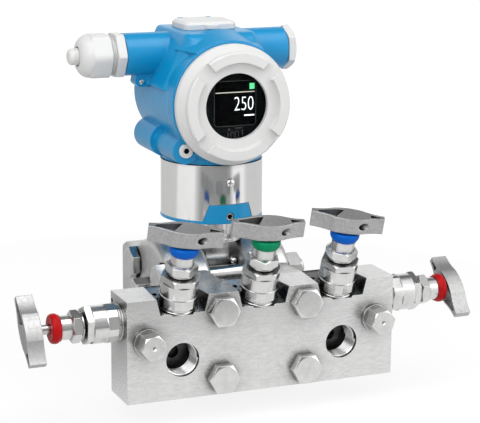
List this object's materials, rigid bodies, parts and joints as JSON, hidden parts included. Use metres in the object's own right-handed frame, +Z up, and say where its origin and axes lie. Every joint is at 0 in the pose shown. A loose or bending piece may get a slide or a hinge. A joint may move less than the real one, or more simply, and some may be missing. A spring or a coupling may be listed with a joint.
{
  "type": "differential pressure transmitter",
  "caption": "Differential pressure transmitter with round display head, flanged measuring cell and bolted valve manifold with T handles.",
  "frame": {"origin": "middle of the rear bracket face, which is the flat ends of the two process flanges, at the height of the measuring cell's axis", "axes": "+X along the manifold to the right as seen from the display, +Y from the manifold back to the bracket face, +Z up along the neck"},
  "size_m": [0.285, 0.1645, 0.226],
  "materials": {
    "satin_steel": "machined stainless steel",
    "polished_steel": "polished stainless steel",
    "blue_paint": "satin blue powder coat on die-cast aluminium",
    "white_paint": "light satin enamel on die-cast aluminium",
    "cast_handle": "bead-blasted stainless casting",
    "window_glass": "clear toughened glass",
    "black_rubber": "black sealing rubber",
    "seal_polymer": "white fluoropolymer seal",
    "blue_polymer": "blue marking ring",
    "green_polymer": "green marking ring",
    "red_polymer": "red marking ring",
    "display_polymer": "dark display frame",
    "black_polymer": "black moulding",
    "white_polymer": "white moulding"
  },
  "bodies": {
    "base": {"base_ring": "blue_paint", "blue_dust_caps": "blue_polymer", "bonnets": "satin_steel", "cell_body": "satin_steel", "clamp_screw": "satin_steel", "flange_bolts": "satin_steel", "flange_left": "satin_steel", "flange_nuts": "satin_steel", "flange_right": "satin_steel", "gland_nuts": "satin_steel", "green_dust_cap": "green_polymer", "isolating_diaphragms": "satin_steel", "lock_nuts": "satin_steel", "manifold_block": "satin_steel", "manifold_bolts": "satin_steel", "manifold_gaskets": "seal_polymer", "neck_sleeve": "polished_steel", "pressure_sensor": "satin_steel", "process_seals": "seal_polymer", "purge_plugs": "satin_steel", "rear_plugs": "satin_steel", "red_dust_caps": "red_polymer", "side_vent_plugs": "satin_steel", "sleeve_screw": "satin_steel", "stem_packings": "seal_polymer"},
    "head": {"housing": "blue_paint", "display_module": "display_polymer", "electronics_insert": "black_polymer", "terminal_block": "black_polymer", "gland_body": "white_polymer", "gland_dome_nut": "white_polymer", "gland_seal": "black_rubber", "gland_blank_pin": "white_polymer", "entry_seals": "black_rubber", "blind_plug": "white_polymer", "cap_hinge_pin": "satin_steel", "cover_lock_screw": "white_polymer", "earth_screw": "satin_steel"},
    "cover_carrier": {"cover_seal": "black_rubber"},
    "cover": {"front_cover": "white_paint", "window_glass": "window_glass"},
    "cap": {"top_cap": "white_paint"},
    "zero_button": {"zero_key": "black_polymer"},
    "span_button": {"span_key": "black_polymer"},
    "isolate_left_tip": {"isolate_left_needle": "satin_steel"},
    "isolate_left_stem": {"isolate_left_spindle": "satin_steel", "isolate_left_handle": "cast_handle"},
    "equalize_tip": {"equalize_needle": "satin_steel"},
    "equalize_stem": {"equalize_spindle": "satin_steel", "equalize_handle": "cast_handle"},
    "isolate_right_tip": {"isolate_right_needle": "satin_steel"},
    "isolate_right_stem": {"isolate_right_spindle": "satin_steel", "isolate_right_handle": "cast_handle"},
    "vent_left_tip": {"vent_left_needle": "satin_steel"},
    "vent_left_stem": {"vent_left_spindle": "satin_steel", "vent_left_handle": "cast_handle"},
    "vent_right_tip": {"vent_right_needle": "satin_steel"},
    "vent_right_stem": {"vent_right_spindle": "satin_steel", "vent_right_handle": "cast_handle"}
  },
  "joints": [
    {"name": "head_turn", "type": "hinge", "parent": "base", "child": "head", "pos_m": [0, -0.0564, 0.1], "axis": [0, 0, 1], "range_deg": [-180, 180]},
    {"name": "cover_travel", "type": "slide", "parent": "head", "child": "cover_carrier", "axis": [0, -1, 0], "range_m": [0, 0.0075]},
    {"name": "cover_turn", "type": "hinge", "parent": "cover_carrier", "child": "cover", "pos_m": [0, -0.0891, 0.1343], "axis": [0, -1, 0], "range_deg": [0, 1800]},
    {"name": "cap_lift", "type": "hinge", "parent": "head", "child": "cap", "pos_m": [0, -0.0257, 0.1787], "axis": [-1, 0, 0], "range_deg": [0, 110]},
    {"name": "zero_press", "type": "slide", "parent": "head", "child": "zero_button", "axis": [0, 0, -1], "range_m": [0, 0.001]},
    {"name": "span_press", "type": "slide", "parent": "head", "child": "span_button", "axis": [0, 0, -1], "range_m": [0, 0.001]},
    {"name": "isolate_left_travel", "type": "slide", "parent": "base", "child": "isolate_left_tip", "axis": [0, -0.309, 0.9511], "range_m": [0, 0.005]},
    {"name": "isolate_left_turn", "type": "hinge", "parent": "isolate_left_tip", "child": "isolate_left_stem", "pos_m": [-0.0518, -0.13204, 0.02315], "axis": [0, -0.309, 0.9511], "range_deg": [0, 1440]},
    {"name": "equalize_travel", "type": "slide", "parent": "base", "child": "equalize_tip", "axis": [0, -0.309, 0.9511], "range_m": [0, 0.005]},
    {"name": "equalize_turn", "type": "hinge", "parent": "equalize_tip", "child": "equalize_stem", "pos_m": [0, -0.13204, 0.02315], "axis": [0, -0.309, 0.9511], "range_deg": [0, 1440]},
    {"name": "isolate_right_travel", "type": "slide", "parent": "base", "child": "isolate_right_tip", "axis": [0, -0.309, 0.9511], "range_m": [0, 0.005]},
    {"name": "isolate_right_turn", "type": "hinge", "parent": "isolate_right_tip", "child": "isolate_right_stem", "pos_m": [0.0518, -0.13204, 0.02315], "axis": [0, -0.309, 0.9511], "range_deg": [0, 1440]},
    {"name": "vent_left_travel", "type": "slide", "parent": "base", "child": "vent_left_tip", "axis": [-1, 0, 0], "range_m": [-0.005, 0]},
    {"name": "vent_left_turn", "type": "hinge", "parent": "vent_left_tip", "child": "vent_left_stem", "pos_m": [-0.08635, -0.1276, 0.01575], "axis": [-1, 0, 0], "range_deg": [-1440, 0]},
    {"name": "vent_right_travel", "type": "slide", "parent": "base", "child": "vent_right_tip", "axis": [1, 0, 0], "range_m": [0, 0.005]},
    {"name": "vent_right_turn", "type": "hinge", "parent": "vent_right_tip", "child": "vent_right_stem", "pos_m": [0.08635, -0.1276, 0.01575], "axis": [1, 0, 0], "range_deg": [0, 1440]}
  ],
  "couplings": [
    {"joint": "cover_travel", "follows": "cover_turn", "m_per_rad": 0.00023873},
    {"joint": "isolate_left_travel", "follows": "isolate_left_turn", "m_per_rad": 0.00019894},
    {"joint": "equalize_travel", "follows": "equalize_turn", "m_per_rad": 0.00019894},
    {"joint": "isolate_right_travel", "follows": "isolate_right_turn", "m_per_rad": 0.00019894},
    {"joint": "vent_left_travel", "follows": "vent_left_turn", "m_per_rad": 0.00019894},
    {"joint": "vent_right_travel", "follows": "vent_right_turn", "m_per_rad": 0.00019894}
  ]
}
